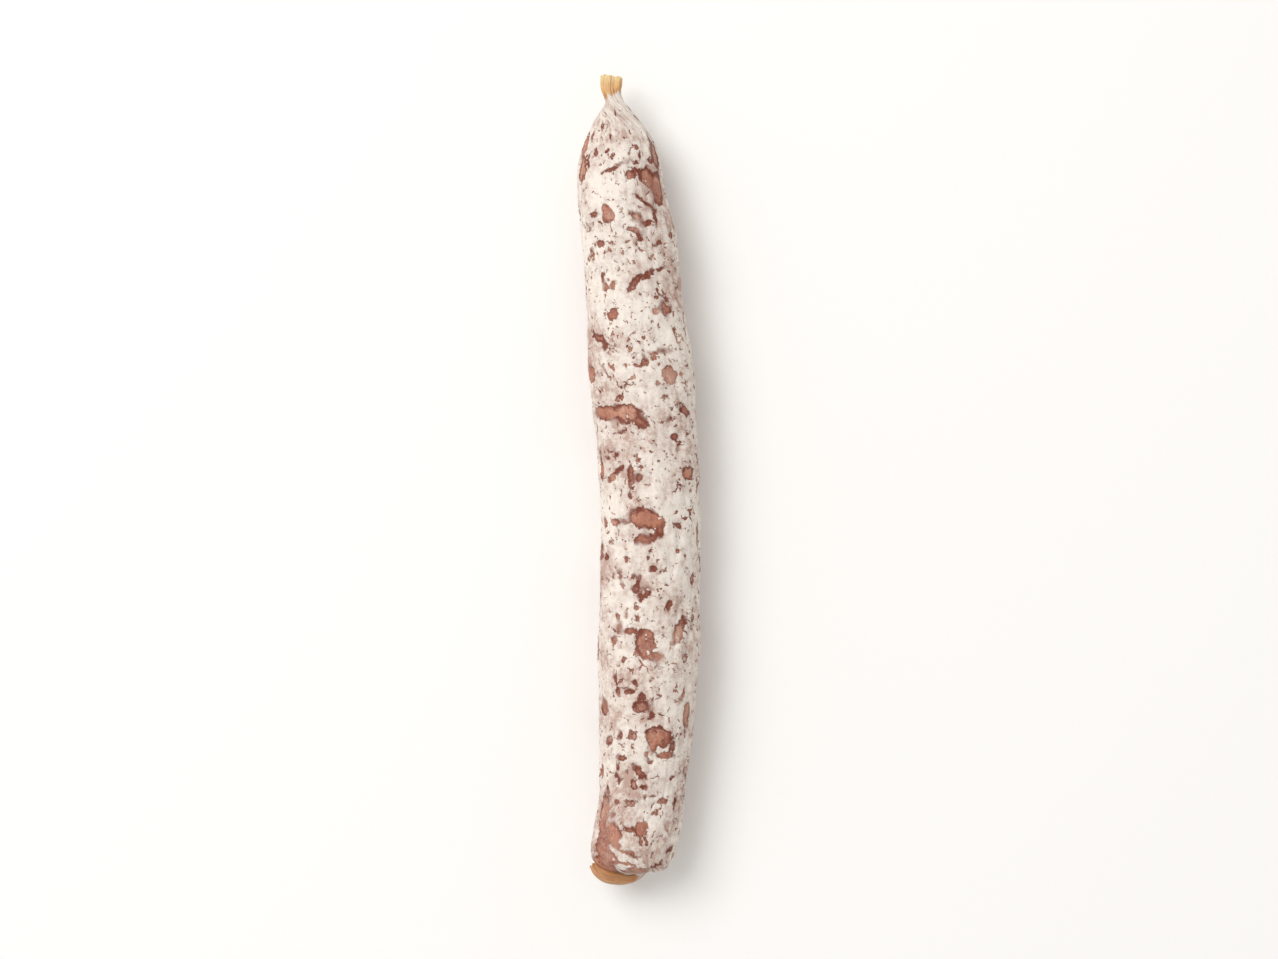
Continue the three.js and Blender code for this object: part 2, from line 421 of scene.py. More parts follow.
# %% Push the pattern about
def push_about(tree, casing):
    """Adds the fine noise, and the casing coordinates as the coarse and the fine noise push them."""
    drift = add(tree, NOISE, Vector=casing, Scale=1 / DRIFT_SIZE, Detail=2.0, Roughness=0.5)
    ragged = add(tree, NOISE, Vector=casing, Scale=1 / RAGGED_SIZE, Detail=2.0, Roughness=0.6)
    pushed = casing
    for noise, distance in ((drift, DRIFT_PUSH), (ragged, RAGGED_PUSH)):
        centred = add(tree, VECTOR_MATH, "SUBTRACT", i0=noise.outputs["Color"], i1=(0.5, 0.5, 0.5))
        push = add(tree, VECTOR_MATH, "SCALE", i0=centred, Scale=distance)
        pushed = add(tree, VECTOR_MATH, "ADD", i0=pushed, i1=push)
    return ragged, pushed


print("coordinates are pushed by up to", round((DRIFT_PUSH + RAGGED_PUSH) / 2, 2), "mm each")

# %% How deep inside a bare place a point is
def bare_depth(tree, casing, flaked, upper):
    """Adds nodes for the depth in millimetres inside a mark, dab, pit or crack, below 0 outside it."""
    ragged, pushed = push_about(tree, casing)
    region = add(tree, NOISE, Vector=casing, Scale=1 / REGION_SIZE, Detail=1.5)
    frayed = add(tree, MATH, "MULTIPLY_ADD", i0=ragged, i1=-MARK_FRAY, i2=MARK_FRAY / 2)
    deep = add(tree, MATH, "ADD", i0=frayed, i1=flaked)
    flecks = add(tree, NOISE, Vector=casing, Scale=1 / FLECK_SIZE, Detail=1.5)
    fleck_edge = add(tree, MATH, "MULTIPLY_ADD", i0=flecks, i1=FLECK_SLOPE, i2=FLECK_LEVEL)
    deep = add(tree, MATH, "MINIMUM", i0=deep, i1=fleck_edge)

    dabs = add(tree, NOISE, Vector=pushed, Scale=1 / DAB_SIZE, Detail=2.5, Roughness=0.55)
    pits = add(tree, NOISE, Vector=pushed, Scale=1 / PIT_SIZE, Detail=2.0, Roughness=0.6)
    cells = add(tree, "ShaderNodeTexVoronoi", {"feature": "DISTANCE_TO_EDGE"},
                Vector=pushed, Scale=1 / CELL_SIZE)
    breaks = add(tree, NOISE, Vector=casing, Scale=1 / BREAK_SIZE, Detail=2.0)
    # a place is bare where its noise falls below a level, which changes from stretch to stretch
    # and on the upper side: [noise, level, stretches, their gain, the upper side's gain, slope]
    for noise, level, stretches, gain, on_top, slope in (
        (dabs, 0.512, region, -0.22, -0.11, 9.0),
        (pits, 0.275, region, 0.16, 0.0, 7.0),
        (cells, -0.33, breaks, 0.6, -0.045, 7.0),
    ):
        level = add(tree, MATH, "MULTIPLY_ADD", i0=stretches, i1=gain, i2=level)
        level = add(tree, MATH, "MULTIPLY_ADD", i0=upper, i1=on_top, i2=level)
        depth = add(tree, MATH, "SUBTRACT", i0=level, i1=noise)
        depth = add(tree, MATH, "MULTIPLY", i0=depth, i1=slope)
        deep = add(tree, MATH, "MAXIMUM", i0=deep, i1=depth)
    return deep


print("a mark's edge frays by", MARK_FRAY / 2, "mm at most")

# %% How well the mould covers a point
def mould_cover(tree, casing, deep):
    """Adds nodes that thin the mould out over a narrow edge, crisp in some stretches, soft in others."""
    crisp = add(tree, NOISE, Vector=casing, Scale=1 / CRISP_SIZE, Detail=1.0)
    crisp = add(tree, "ShaderNodeMapRange",
                Value=crisp, From_Min=0.38, From_Max=0.52, To_Min=0.3, To_Max=1.3)
    edge = add(tree, MATH, "MULTIPLY", i0=deep, i1=crisp)
    return add(tree, "ShaderNodeMapRange", SMOOTHLY,
               Value=edge, From_Min=THINNING[0], From_Max=THINNING[1])


print("the mould thickens over", round(THINNING[0] - THINNING[1], 2), "mm")

# %% [markdown]
# ## The skin
#
# The main piece follows a rule: a ring of points at each station, pushed in and out. Sculpting
# would hide that rule, and a displace modifier knows only one texture. So it is work for
# Geometry Nodes, where a change to one number reshapes the whole skin. The tree's inputs are
# the sizes a maker would name. Body Radius and those from Swell to Wobble are in millimetres.

# %% The inputs of the skin's tree
INPUTS = {
    "Geometry": ("NodeSocketGeometry", None),
    "Flakes": ("NodeSocketObject", flakes_object),
    "Rings": ("NodeSocketInt", RINGS),
    "Points Round": ("NodeSocketInt", 190),
    "Body Radius": ("NodeSocketFloat", BODY_RADIUS),
    "Swell": ("NodeSocketFloat", 0.5),
    "Lumps": ("NodeSocketFloat", 0.4),
    "Creases": ("NodeSocketFloat", 0.2),
    "Pleats": ("NodeSocketFloat", 0.6),
    "Folds": ("NodeSocketFloat", 1.2),
    "Crust": ("NodeSocketFloat", 0.14),
    "Fray": ("NodeSocketFloat", 1.0),
    "Wobble": ("NodeSocketFloat", 1.5),
    "Casing": ("NodeSocketMaterial", None),
}
skin_tree = bpy.data.node_groups.new("sausage skin", "GeometryNodeTree")
for name, (kind, _) in INPUTS.items():
    skin_tree.interface.new_socket(name=name, in_out="INPUT", socket_type=kind)
skin_tree.interface.new_socket(name="Geometry", in_out="OUTPUT", socket_type="NodeSocketGeometry")
given = add(skin_tree, "NodeGroupInput").outputs
print("the tree takes", list(INPUTS))

# %% [markdown]
# A flat grid is the raw skin: its rows are the rings, and its columns go round. A grid's
# points are numbered along each row, so the number of a point tells its ring and its column.
# The grid has one column more than the points round, and the two edges meet on the underside.

# %% Rows and columns
UNDERSIDE = math.pi * 1.5
columns = add(skin_tree, "FunctionNodeIntegerMath", "ADD", i0=given["Points Round"], i1=1)
grid = add(skin_tree, "GeometryNodeMeshGrid", Vertices_X=given["Rings"], Vertices_Y=columns)
number = add(skin_tree, "GeometryNodeInputIndex")
row = add(skin_tree, "FunctionNodeIntegerMath", "DIVIDE_FLOOR", i0=number, i1=columns)
column = add(skin_tree, "FunctionNodeIntegerMath", "MODULO", i0=number, i1=columns)
share = add(skin_tree, MATH, "DIVIDE", i0=column, i1=given["Points Round"])
angle = add(skin_tree, MATH, "MULTIPLY_ADD", i0=share, i1=-math.tau, i2=UNDERSIDE)
print("the edges of the grid meet at", round(math.degrees(UNDERSIDE)), "degrees from the +Y side")

# %% What every point reads from its ring
ring = {}
for name in [*ring_numbers, "sideways", "position"]:
    data_type = "FLOAT" if name in ring_numbers else "FLOAT_VECTOR"
    value = add(skin_tree, "GeometryNodeInputNamedAttribute", {"data_type": data_type}, Name=name)
    ring[name] = add(skin_tree, "GeometryNodeSampleIndex", {"data_type": data_type},
                     Geometry=given["Geometry"], Value=value, Index=row)
print("each point reads", list(ring))

# %% [markdown]
# A point stands out from its ring's middle by an angle. A second angle, turned by the twist,
# says which part of the casing it is, and gives the casing coordinates for the patterns.

# %% Directions and casing coordinates
across = add(skin_tree, MATH, "COSINE", i0=angle)
upwards = add(skin_tree, MATH, "SINE", i0=angle)
outwards = add(skin_tree, VECTOR_MATH, "SCALE", i0=ring["sideways"], Scale=across)
lift = add(skin_tree, "ShaderNodeCombineXYZ", Z=upwards)
outwards = add(skin_tree, VECTOR_MATH, "ADD", i0=outwards, i1=lift)

casing_angle = add(skin_tree, MATH, "ADD", i0=angle, i1=ring["twist"])
round_y = add(skin_tree, MATH, "COSINE", i0=casing_angle)
round_z = add(skin_tree, MATH, "SINE", i0=casing_angle)
spokes = add(skin_tree, "ShaderNodeCombineXYZ", Y=round_y, Z=round_z)
casing = add(skin_tree, VECTOR_MATH, "SCALE", i0=spokes, Scale=given["Body Radius"])
along_only = add(skin_tree, "ShaderNodeCombineXYZ", X=ring["along"])
casing = add(skin_tree, VECTOR_MATH, "ADD", i0=casing, i1=along_only)
print("casing coordinates run along X, and round in Y and Z")

# %% [markdown]
# Each point has to know how far inside a mark it lies. A repeat zone goes through the marks
# one by one, measures the depth inside each oval in millimetres, and keeps the greatest. The
# unrolled casing is first pushed about a little by a noise, so no mark is a true oval. One
# zone does the work of a copy of the same nodes for each mark.

# %% Unroll the casing
WOBBLE_SIZE = 1.11  # millimetres
wobble = add(skin_tree, NOISE, Vector=casing, Scale=1 / WOBBLE_SIZE, Detail=2.0, Roughness=0.65)
wobble = add(skin_tree, VECTOR_MATH, "SUBTRACT", i0=wobble.outputs["Color"], i1=(0.5, 0.5, 0.5))
wobble = add(skin_tree, VECTOR_MATH, "SCALE", i0=wobble, Scale=given["Wobble"])
from_top = add(skin_tree, MATH, "SUBTRACT", i0=math.pi / 2, i1=angle)
unrolled_y = add(skin_tree, MATH, "MULTIPLY", i0=from_top, i1=given["Body Radius"])
unrolled = add(skin_tree, "ShaderNodeCombineXYZ", X=ring["along"], Y=unrolled_y)
unrolled = add(skin_tree, VECTOR_MATH, "ADD", i0=unrolled, i1=wobble)
unrolled = add(skin_tree, VECTOR_MATH, "MULTIPLY", i0=unrolled, i1=(1, 1, 0))
print("the unrolled coordinates wobble by up to", INPUTS["Wobble"][1] / 2, "mm each")

# %% A zone that goes through the marks
OUTSIDE = -1.5  # the depth that every point starts from, in millimetres
flake_points = add(skin_tree, "GeometryNodeObjectInfo", Object=given["Flakes"]).outputs["Geometry"]
zone_end = add(skin_tree, "GeometryNodeRepeatOutput")
zone_end.repeat_items.clear()
zone_end.repeat_items.new("FLOAT", "Depth")
zone_start = skin_tree.nodes.new("GeometryNodeRepeatInput")
zone_start.pair_with_output(zone_end)
zone_start.inputs["Iterations"].default_value = len(MARKS)
zone_start.inputs["Depth"].default_value = OUTSIDE
mark = {}
for name in ("position", "half_along", "half_round", "turn"):
    data_type = "FLOAT_VECTOR" if name == "position" else "FLOAT"
    value = add(skin_tree, "GeometryNodeInputNamedAttribute", {"data_type": data_type}, Name=name)
    mark[name] = add(skin_tree, "GeometryNodeSampleIndex", {"data_type": data_type},
                     Geometry=flake_points, Value=value, Index=zone_start.outputs["Iteration"])
print("the zone repeats", len(MARKS), "times")

# %% How far inside its oval a point lies
UPPER_SIDE = (-0.1, 0.35)  # it begins between these sines of the angle
offset = add(skin_tree, VECTOR_MATH, "SUBTRACT", i0=unrolled, i1=mark["position"])
turn = add(skin_tree, MATH, "RADIANS", i0=mark["turn"])
offset = add(skin_tree, "ShaderNodeVectorRotate", {"rotation_type": "Z_AXIS"}, Vector=offset, Angle=turn)
oval = add(skin_tree, "ShaderNodeCombineXYZ", X=mark["half_along"], Y=mark["half_round"], Z=1.0)
offset = add(skin_tree, VECTOR_MATH, "DIVIDE", i0=offset, i1=oval)
reach = add(skin_tree, VECTOR_MATH, "LENGTH", i0=offset)
inside = add(skin_tree, MATH, "SUBTRACT", i0=1.0, i1=reach.outputs["Value"])
thinner = add(skin_tree, MATH, "MINIMUM", i0=mark["half_along"], i1=mark["half_round"])
inside = add(skin_tree, MATH, "MULTIPLY", i0=inside, i1=thinner)
deepest = add(skin_tree, MATH, "MAXIMUM", i0=zone_start.outputs["Depth"], i1=inside)
skin_tree.links.new(deepest.outputs["Value"], zone_end.inputs["Depth"])
flaked = zone_end.outputs["Depth"]
upper = add(skin_tree, "ShaderNodeMapRange", SMOOTHLY,
            Value=upwards, From_Min=UPPER_SIDE[0], From_Max=UPPER_SIDE[1])
print("the zone hands on its", zone_end.repeat_items[0].name.lower())

# %% [markdown]
# The relief, in millimetres. The filling leaves broad swells and smaller lumps. The casing
# dries into creases that run along the sausage: narrow valleys where a stretched noise crosses
# its middle value. At the ends the same casing has to fit a smaller girth, so it stands up in
# pleats, and the tails are folded and tucked. Last comes the crust of mould, which is as thick
# as the pattern says. All of it could be bump in the material, but then the outline would be
# smooth and the mesh bare.

# %% Noises for the relief
NOISES = {  # blotch size along and round in millimetres, detail and roughness
    "Swell": (24, 15, 1.0, 0.5),
    "Lumps": (5, 4.2, 2.0, 0.5),
    "Creases": (11, 2.4, 2.0, 0.45),
    "Pleats": (14, 2.1, 1.0, 0.5),
    "Folds": (5.5, 8.5, 1.0, 0.5),
    "Tucks": (4.5, 5.5, 2.0, 0.5),
}
layer = {}
for name, (size_along, size_round, detail, roughness) in NOISES.items():
    scaled = add(skin_tree, VECTOR_MATH, "DIVIDE", i0=casing, i1=(size_along, size_round, size_round))
    noise = add(skin_tree, NOISE, Vector=scaled, Scale=1.0, Detail=detail, Roughness=roughness)
    layer[name] = add(skin_tree, MATH, "MULTIPLY_ADD", i0=noise, i1=2.0, i2=-1.0)
print("noises from -1 to 1 are made for", list(layer))

# %% Valleys, pleats, folds and crust
CALM_TAIL = 0.85  # share of the pleats and creases that the tails lack
LOOSE_CRUST = 0.85  # share of the crust that gathered casing sheds
VALLEYS = {"Creases": (0.16, 1.0), "Tucks": (0.22, 0.5)}  # half width and depth, in the noise's range
for name, (width, depth) in VALLEYS.items():
    from_valley = add(skin_tree, MATH, "ABSOLUTE", i0=layer[name])
    layer[name] = add(skin_tree, "ShaderNodeMapRange", SMOOTHLY,
                      Value=from_valley, From_Min=0.0, From_Max=width, To_Min=-depth, To_Max=0.0)
in_body = add(skin_tree, MATH, "MULTIPLY_ADD", i0=ring["tail"], i1=-CALM_TAIL, i2=1.0)
pleats = add(skin_tree, MATH, "MULTIPLY", i0=layer["Pleats"], i1=ring["gather"])
layer["Pleats"] = add(skin_tree, MATH, "MULTIPLY", i0=pleats, i1=in_body)
layer["Creases"] = add(skin_tree, MATH, "MULTIPLY", i0=layer["Creases"], i1=in_body)
folds = add(skin_tree, MATH, "ADD", i0=layer["Folds"], i1=layer["Tucks"])
layer["Folds"] = add(skin_tree, MATH, "MULTIPLY", i0=folds, i1=ring["tail"])
crust = mould_cover(skin_tree, casing, bare_depth(skin_tree, casing, flaked, upper))
kept = add(skin_tree, MATH, "MULTIPLY_ADD", i0=ring["gather"], i1=-LOOSE_CRUST, i2=1.0)
layer["Crust"] = add(skin_tree, MATH, "MULTIPLY", i0=crust, i1=kept)
print("the layers are", list(layer))

# %% Add the layers up
RELIEF = ("Swell", "Lumps", "Creases", "Pleats", "Folds", "Crust")
SLIM_POWER = 0.6  # how fast the relief shrinks as the sausage gets slimmer
relief = 0.0
for name in RELIEF:
    relief = add(skin_tree, MATH, "MULTIPLY_ADD", i0=layer[name], i1=given[name], i2=relief)
slimness = add(skin_tree, MATH, "DIVIDE", i0=ring["half_width"], i1=given["Body Radius"])
slimness = add(skin_tree, MATH, "POWER", i0=slimness, i1=SLIM_POWER)
relief = add(skin_tree, MATH, "MULTIPLY", i0=relief, i1=slimness)
print("the relief adds up", len(RELIEF), "layers")

# %% [markdown]
# Now the points can be set: out from the ring's middle by the oval section and by the relief.
# The lips of the tails are torn, so they move along the tail by a noise. The soft sausage
# settled on its underside, so no point may lie below the surface. A cut would leave a sharp
# edge round the flat, so a smooth maximum is used.

# %% Set the points
oval_across = add(skin_tree, MATH, "MULTIPLY", i0=across, i1=ring["half_width"])
oval_up = add(skin_tree, MATH, "MULTIPLY", i0=upwards, i1=ring["half_height"])
section = add(skin_tree, VECTOR_MATH, "SCALE", i0=ring["sideways"], Scale=oval_across)
lift = add(skin_tree, "ShaderNodeCombineXYZ", Z=oval_up)
point = add(skin_tree, VECTOR_MATH, "ADD", i0=section, i1=lift)
point = add(skin_tree, VECTOR_MATH, "ADD", i0=point, i1=ring["position"])
bump = add(skin_tree, VECTOR_MATH, "SCALE", i0=outwards, Scale=relief)
point = add(skin_tree, VECTOR_MATH, "ADD", i0=point, i1=bump)
print("the points stand out by the section and the relief")

# %% Fray the lips
NOTCHES = 1.3  # for each radius of the lip
fray = add(skin_tree, NOISE, Vector=spokes, Scale=NOTCHES, Detail=1.5)
fray = add(skin_tree, MATH, "SUBTRACT", i0=fray, i1=0.5)
fray = add(skin_tree, MATH, "MULTIPLY", i0=fray, i1=ring["lip"])
fray = add(skin_tree, MATH, "MULTIPLY", i0=fray, i1=given["Fray"])
ahead_here = add(skin_tree, VECTOR_MATH, "CROSS_PRODUCT", i0=ring["sideways"], i1=(0, 0, 1))
fray = add(skin_tree, VECTOR_MATH, "SCALE", i0=ahead_here, Scale=fray)
point = add(skin_tree, VECTOR_MATH, "ADD", i0=point, i1=fray)
print("the lips fray along the way that their rings face")

# %% Settle it on the surface
SETTLE_SOFTNESS = 0.35  # millimetres over which the side rounds into the flat
parts = add(skin_tree, "ShaderNodeSeparateXYZ", Vector=point).outputs
settled = add(skin_tree, MATH, "SMOOTH_MAX", i0=parts["Z"], i1=0.0, i2=SETTLE_SOFTNESS)
point = add(skin_tree, "ShaderNodeCombineXYZ", X=parts["X"], Y=parts["Y"], Z=settled)
in_metres = add(skin_tree, VECTOR_MATH, "SCALE", i0=point, Scale=MM)
print("the underside settles over", SETTLE_SOFTNESS, "mm")

# %% [markdown]
# What the material needs is stored on the mesh before the edges of the grid are merged: the
# casing coordinates, the marks and the tails. Object coordinates couldn't give them back,
# because the twist and the folds move the casing. The grid's flat layout is kept as a UV map.

# %% Store, merge and finish
SAME_PLACE = 1e-4  # millimetres within which two points are one
stored = add(skin_tree, "GeometryNodeStoreNamedAttribute", {"data_type": "FLOAT2", "domain": "CORNER"},
             Geometry=grid.outputs["Mesh"], Name="OFBake", Value=grid.outputs["UV Map"])
for name, value in (("casing", casing), ("flaked", flaked), ("upper", upper),
                    ("past_twist", ring["past_twist"]), ("pale", ring["pale"])):
    data_type = "FLOAT_VECTOR" if name == "casing" else "FLOAT"
    stored = add(skin_tree, "GeometryNodeStoreNamedAttribute", {"data_type": data_type, "domain": "POINT"},
                 Geometry=stored, Name=name, Value=value)
placed = add(skin_tree, "GeometryNodeSetPosition", Geometry=stored, Position=in_metres)
closed = add(skin_tree, "GeometryNodeMergeByDistance", Geometry=placed, Distance=SAME_PLACE * MM)
smooth = add(skin_tree, "GeometryNodeSetShadeSmooth", i0=closed)
real = add(skin_tree, "GeometryNodeRealizeInstances", Geometry=smooth)
coated = add(skin_tree, "GeometryNodeSetMaterial", Geometry=real, Material=given["Casing"])
add(skin_tree, "NodeGroupOutput", Geometry=coated)
print("the skin's tree has", len(skin_tree.nodes), "nodes")

# %% [markdown]
# ## Finishes
#
# Colours are written as sRGB hex codes, as they look, and one function turns them into the
# linear values that a renderer mixes.

# %% A helper for colours
def linear(code):
    """The linear RGBA of an sRGB hex colour."""
    shares = [int(code[place:place + 2], 16) / 255 for place in (1, 3, 5)]
    return (*[c / 12.92 if c <= 0.04045 else ((c + 0.055) / 1.055) ** 2.4 for c in shares], 1.0)


print("cream is", [round(c, 3) for c in linear("#ede0d5")])

# %% [markdown]
# ** Mould-coated casing.** Collagen casing is pressed from hide protein, and dries to a
# leathery, half-glossy film. The mould on it is a felt of fine threads and spores: a dry,
# chalky powder, with no shine at all. Where it is thick it is ivory. Where it is thin, the
# dark meat shows through and turns it a greyish mauve. Where it has flaked off, the casing is
# a brownish red over the meat, with a thin dust of spores on some of it. Along the mould's
# edges and in narrow cracks and pits it is darkened by a painted shade, for the crust's shadow.
# A picture of mould would do for one view, but noises in the casing's own coordinates
# wrap all round it and follow the relief. The fourth number of a noise, W, picks one pattern
# out of many, as a seed does. The IOR stays at the shader's own 1.5, close to collagen's.

# %% Mould-coated casing
mouldy = bpy.data.materials.new("mould-coated collagen casing")
mouldy.use_nodes = True
tree = mouldy.node_tree
shader = tree.nodes["Principled BSDF"]

casing_place = add(tree, "ShaderNodeAttribute", {"attribute_name": "casing"}).outputs["Vector"]
here = {
    name: add(tree, "ShaderNodeAttribute", {"attribute_name": name}).outputs["Fac"]
    for name in ("flaked", "upper", "past_twist", "pale")
}
deep_here = bare_depth(tree, casing_place, here["flaked"], here["upper"])
cover_here = mould_cover(tree, casing_place, deep_here)
print("at each point the shader reads its casing place and", list(here))

# %% Ivory and mauve mould
BROAD_SIZE, CLOUD_SIZE, FELT_SIZE = 12.5, 5.88, 1.05  # millimetres
BROAD_SHARE = 0.8  # how much the broadest clouds count
MOULD = [(0.29, "#c1a396"), (0.4, "#d7c4b9"), (0.5, "#e5d7cd"), (0.66, "#f3e9de")]  # thin to thick
broad = add(tree, NOISE, {"noise_dimensions": "4D"},
            Vector=casing_place, W=645.7, Scale=1 / BROAD_SIZE, Detail=2.0, Roughness=0.5)
clouds = add(tree, NOISE, {"noise_dimensions": "4D"},
             Vector=casing_place, W=59.1, Scale=1 / CLOUD_SIZE, Detail=3.0, Roughness=0.6)
felt = add(tree, NOISE, Vector=casing_place, Scale=1 / FELT_SIZE, Detail=4.0, Roughness=0.75)
# each of the three noises lies round 0.5, and so does their sum
thickness = add(tree, MATH, "MULTIPLY_ADD", i0=broad, i1=BROAD_SHARE, i2=-BROAD_SHARE / 2 - 0.5)
thickness = add(tree, MATH, "ADD", i0=thickness, i1=felt)
thickness = add(tree, MATH, "ADD", i0=thickness, i1=clouds)
mould_colour = add(tree, "ShaderNodeValToRGB", i0=thickness)
print("the mould has", len(MOULD), "tones")

# %% Bare casing, with its dust, and painted shade along the mould's edges
MEAT_SIZE, FILM_SIZE, DUST_SIZE = 4.55, 7.69, 0.455  # millimetres
BARE = [(0.36, "#925443"), (0.43, "#9e614c"), (0.5, "#ac6e56"), (0.57, "#be7d62"), (0.66, "#c48d74")]
# the second tone is a painted shade: the dark of the crust's shadow along the mould's edges and in narrow
# cracks and pits
DUST_TONE, EDGE_SHADE_TONE = "#d0b5a6", "#783620"
FELT_SHADE, CLOUD_SHADE, EDGE_SHADE_LEVEL = 1.3, 1.8, -1.56  # what makes the painted shade narrow or wide
meat = add(tree, NOISE, {"noise_dimensions": "4D"},
           Vector=casing_place, W=338.8, Scale=1 / MEAT_SIZE, Detail=5.0, Roughness=0.7)
clean_colour = add(tree, "ShaderNodeValToRGB", i0=meat)
film = add(tree, NOISE, {"noise_dimensions": "4D"},
           Vector=casing_place, W=272.3, Scale=1 / FILM_SIZE, Detail=1.0)
dust = add(tree, NOISE, Vector=casing_place, Scale=1 / DUST_SIZE, Detail=3.0, Roughness=0.7)
dust = add(tree, MATH, "ADD", i0=dust, i1=film)
dusty_here = add(tree, "ShaderNodeMapRange", Value=dust, From_Min=0.96, From_Max=1.3, To_Max=0.65)
bare_colour = add(tree, "ShaderNodeMix", {"data_type": "RGBA"},
                  Factor=dusty_here, A=clean_colour, B=linear(DUST_TONE))
# painted shade: the bare casing darkens near the mould's edges and in narrow cracks and pits, for the
# shadow of the crust there
edge_shade = add(tree, MATH, "MULTIPLY_ADD", i0=felt, i1=FELT_SHADE, i2=EDGE_SHADE_LEVEL)
edge_shade = add(tree, MATH, "MULTIPLY_ADD", i0=clouds, i1=CLOUD_SHADE, i2=edge_shade)
edge_shade = add(tree, MATH, "ADD", i0=edge_shade, i1=deep_here)
shaded_here = add(tree, "ShaderNodeMapRange", SMOOTHLY, Value=edge_shade, From_Min=0.5, From_Max=0.0)
bare_colour = add(tree, "ShaderNodeMix", {"data_type": "RGBA"},
                  Factor=shaded_here, A=bare_colour, B=linear(EDGE_SHADE_TONE))
body_colour = add(tree, "ShaderNodeMix", {"data_type": "RGBA"},
                  Factor=cover_here, A=bare_colour, B=mould_colour)
print("the material has", len(tree.nodes), "nodes so far")

# %% [markdown]
# The tails hold no meat and grew no mould. There the same film is several layers thick, amber,
# stiff, glossier and a little see-through, like parchment or dried glue. It is paler at its
# thin lip. The mould stops in a ragged line near the twist, so the tails share the body's
# material, and a noise draws that line. A second material would stop along a row of faces.

# %% Where the tails begin
EDGE_SIZE, EDGE_WANDER = 3.33, 3.0  # size and depth of the bays where the mould stops, millimetres
uneven = add(tree, NOISE, Vector=casing_place, Scale=1 / EDGE_SIZE, Detail=3.0, Roughness=0.6)
uneven = add(tree, MATH, "MULTIPLY_ADD", i0=uneven, i1=EDGE_WANDER, i2=-EDGE_WANDER / 2)
amber_here = add(tree, MATH, "ADD", i0=here["past_twist"], i1=uneven)
amber_here = add(tree, "ShaderNodeMapRange", SMOOTHLY, Value=amber_here, From_Min=-0.35, From_Max=0.15)
print("the mould stops within about", EDGE_WANDER / 2, "mm of each twist")

# %% Amber
STREAK_SIZE, STREAK_TONES = 2.86, 1.1  # millimetres, and a share of the run of tones
AMBER = [(0.0, "#d09b62"), (0.25, "#b8835c"), (0.45, "#d9a96c"), (0.8, "#dfb680"), (1.0, "#e9ca98")]
streaks = add(tree, NOISE, Vector=casing_place, Scale=1 / STREAK_SIZE, Detail=4.0, Roughness=0.6)
streaks = add(tree, MATH, "MULTIPLY_ADD", i0=streaks, i1=STREAK_TONES, i2=-STREAK_TONES / 2)
paleness = add(tree, MATH, "ADD", i0=here["pale"], i1=streaks)
amber_colour = add(tree, "ShaderNodeValToRGB", i0=paleness)
skin_colour = add(tree, "ShaderNodeMix", {"data_type": "RGBA"},
                  Factor=amber_here, A=body_colour, B=amber_colour)
tone = next(socket for socket in skin_colour.outputs if socket.enabled)
tree.links.new(tone, shader.inputs["Base Color"])
print("the tails run through", len(AMBER), "tones")

# %% Set the tones
for ramp, tones in ((mould_colour, MOULD), (clean_colour, BARE), (amber_colour, AMBER)):
    stops = ramp.color_ramp.elements
    while len(stops) < len(tones):
        stops.new(1.0)
    for stop, (place, code) in zip(stops, tones):
        stop.position = place
        stop.color = linear(code)
print(len(MOULD) + len(BARE) + len(AMBER), "tones are set")

# %% Gloss, depth and powder
BARE_ROUGHNESS, MOULD_ROUGHNESS, AMBER_ROUGHNESS = 0.5, 0.93, 0.38
SEE_THROUGH = 0.3
# real spores are far finer, so the powder is drawn as coarse as it needs to be to show
POWDER_SIZE, POWDER_HEIGHT, CRUST_HEIGHT = 0.25, 0.14, 0.1  # millimetres
dryness = add(tree, "ShaderNodeMapRange",
              Value=cover_here, To_Min=BARE_ROUGHNESS, To_Max=MOULD_ROUGHNESS)
dryness = add(tree, "ShaderNodeMapRange", Value=amber_here, To_Min=dryness, To_Max=AMBER_ROUGHNESS)
tree.links.new(dryness.outputs["Result"], shader.inputs["Roughness"])
see_through = add(tree, MATH, "MULTIPLY", i0=amber_here, i1=SEE_THROUGH)
tree.links.new(see_through.outputs["Value"], shader.inputs["Subsurface Weight"])
shader.inputs["Subsurface Radius"].default_value = (1.0, 0.55, 0.3)
shader.inputs["Subsurface Scale"].default_value = MM

powder = add(tree, NOISE, Vector=casing_place, Scale=1 / POWDER_SIZE, Detail=3.0, Roughness=0.75)
powder_depth = add(tree, "ShaderNodeMapRange", Value=amber_here, To_Min=0.8, To_Max=0.25)
powder_bump = add(tree, "ShaderNodeBump", Height=powder, Strength=powder_depth, Distance=POWDER_HEIGHT * MM)
crust_bump = add(tree, "ShaderNodeBump",
                 Height=cover_here, Strength=0.7, Distance=CRUST_HEIGHT * MM, Normal=powder_bump)
tree.links.new(crust_bump.outputs["Normal"], shader.inputs["Normal"])
print(mouldy.name, "has", len(tree.nodes), "nodes")

# %% [markdown]
# ## Make the sausage
#
# The mesh of rings gets the tree as a modifier, and each input is set by its identifier. The
# modifier could stay, but what comes after needs a plain mesh. So the result is kept as one,
# and centred in the box of the CAD solid.

# %% Run the tree and keep its mesh
rings_object = bpy.data.objects.new("rings", rings)
for helper in (rings_object, flakes_object):
    bpy.context.scene.collection.objects.link(helper)
modifier = rings_object.modifiers.new("skin", "NODES")
modifier.node_group = skin_tree
values = {name: value for name, (_, value) in INPUTS.items()}
values["Casing"] = mouldy
for item in skin_tree.interface.items_tree:
    if item.in_out == "INPUT" and values[item.name] is not None:
        modifier[item.identifier] = values[item.name]

